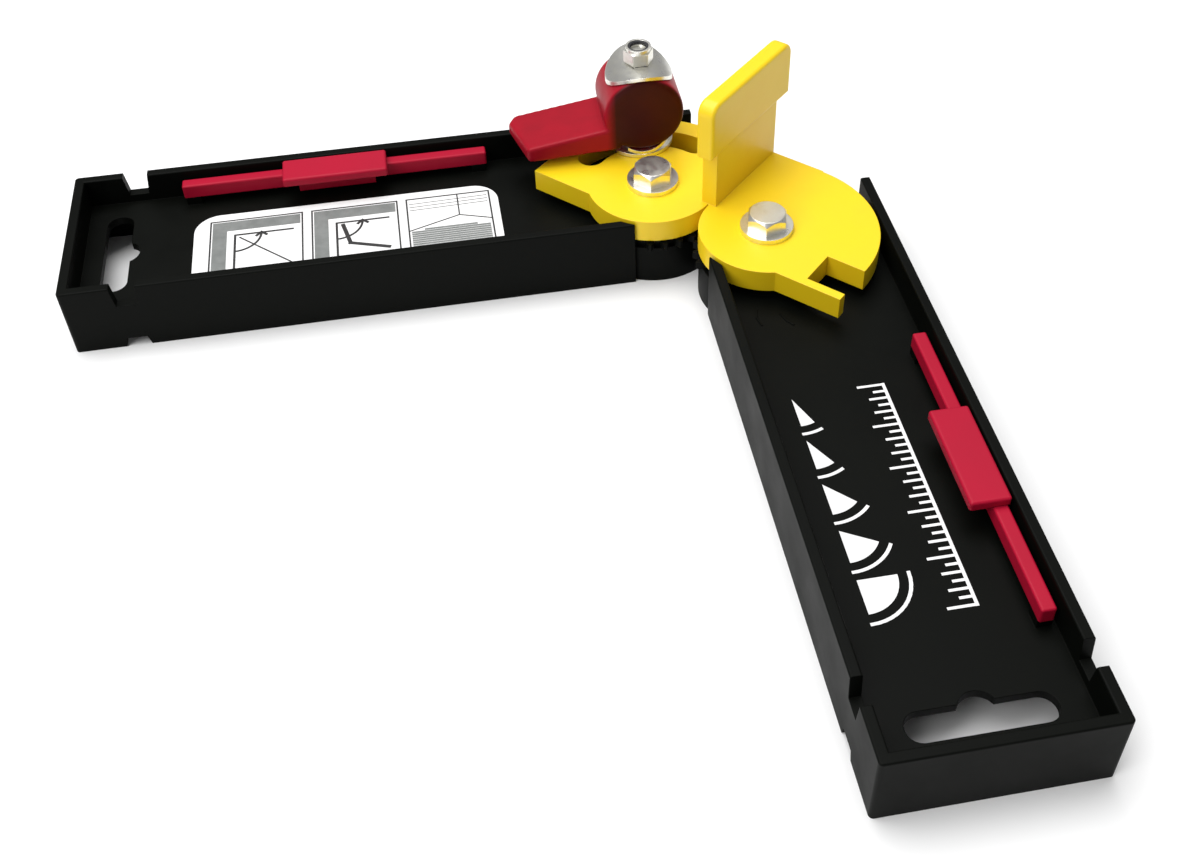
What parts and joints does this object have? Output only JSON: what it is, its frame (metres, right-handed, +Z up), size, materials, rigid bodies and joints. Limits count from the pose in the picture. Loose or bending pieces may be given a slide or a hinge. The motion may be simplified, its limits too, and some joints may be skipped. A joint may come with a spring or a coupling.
{
  "type": "sliding bevel",
  "caption": "Angle-transfer bevel: geared channel-section blades on a yellow bisector hub with an upright fin, locked by a red cam lever; thumb sliders on guide bars.",
  "frame": {"origin": "centre of the square footprint with the blades at 90 degrees, on the bench plane", "axes": "+Z up; the left blade lies along -X and the right blade along -Y, and the fin's bisector points to (+X, +Y)"},
  "size_m": [0.2436, 0.2436, 0.06],
  "materials": {
    "black_moulding": "fine moulded texture with a slight sheen",
    "yellow_moulding": "satin moulded",
    "red_moulding": "satin moulded",
    "red_lever": "satin moulded",
    "zinc": "bright zinc plate",
    "spring_steel": "bright rolled",
    "acetal": "natural acetal",
    "nylon": "dark nylon",
    "label_film": "printed film"
  },
  "bodies": {
    "hub": {"hub": "yellow_moulding", "pivot_bolts": "zinc", "pivot_washers": "zinc", "pivot_sleeves": "acetal", "friction_washers": "acetal", "pivot_under_washers": "zinc", "pivot_lock_nuts": "zinc"},
    "left_blade": {"left_blade": "black_moulding", "instruction_label": "label_film", "left_guide_bar": "red_moulding", "left_bar_screws": "zinc", "cam_stud": "zinc", "cam_nut": "zinc", "cam_nut_insert": "nylon"},
    "right_blade": {"right_blade": "black_moulding", "right_guide_bar": "red_moulding", "right_bar_screws": "zinc"},
    "clamp_head": {"cam_saddle": "zinc", "cam_lower_saddle": "zinc", "cam_flat_washer": "zinc"},
    "cam_lever": {"cam_lever": "red_lever"},
    "left_slider": {"left_slider": "red_moulding", "left_slider_spring": "spring_steel"},
    "right_slider": {"right_slider": "red_moulding", "right_slider_spring": "spring_steel"}
  },
  "joints": [
    {"name": "left_blade_turn", "type": "hinge", "parent": "hub", "child": "left_blade", "pos_m": [0.05515, 0.08415, 0], "axis": [0, 0, 1], "range_deg": [-45, 45]},
    {"name": "right_blade_turn", "type": "hinge", "parent": "hub", "child": "right_blade", "pos_m": [0.08415, 0.05515, 0], "axis": [0, 0, 1], "range_deg": [-45, 45]},
    {"name": "clamp_swivel", "type": "hinge", "parent": "left_blade", "child": "clamp_head", "pos_m": [0.05515, 0.10725, 0.0383], "axis": [0, 0, 1], "range_deg": [-90, 40]},
    {"name": "cam_lift", "type": "hinge", "parent": "clamp_head", "child": "cam_lever", "pos_m": [0.05515, 0.10725, 0.0383], "axis": [0, 1, 0], "range_deg": [0, 35]},
    {"name": "left_slide", "type": "slide", "parent": "left_blade", "child": "left_slider", "axis": [1, 0, 0], "range_m": [-0.025, 0.025]},
    {"name": "right_slide", "type": "slide", "parent": "right_blade", "child": "right_slider", "axis": [0, 1, 0], "range_m": [-0.025, 0.025]}
  ],
  "couplings": [
    {"joint": "right_blade_turn", "follows": "left_blade_turn", "ratio": -1}
  ]
}
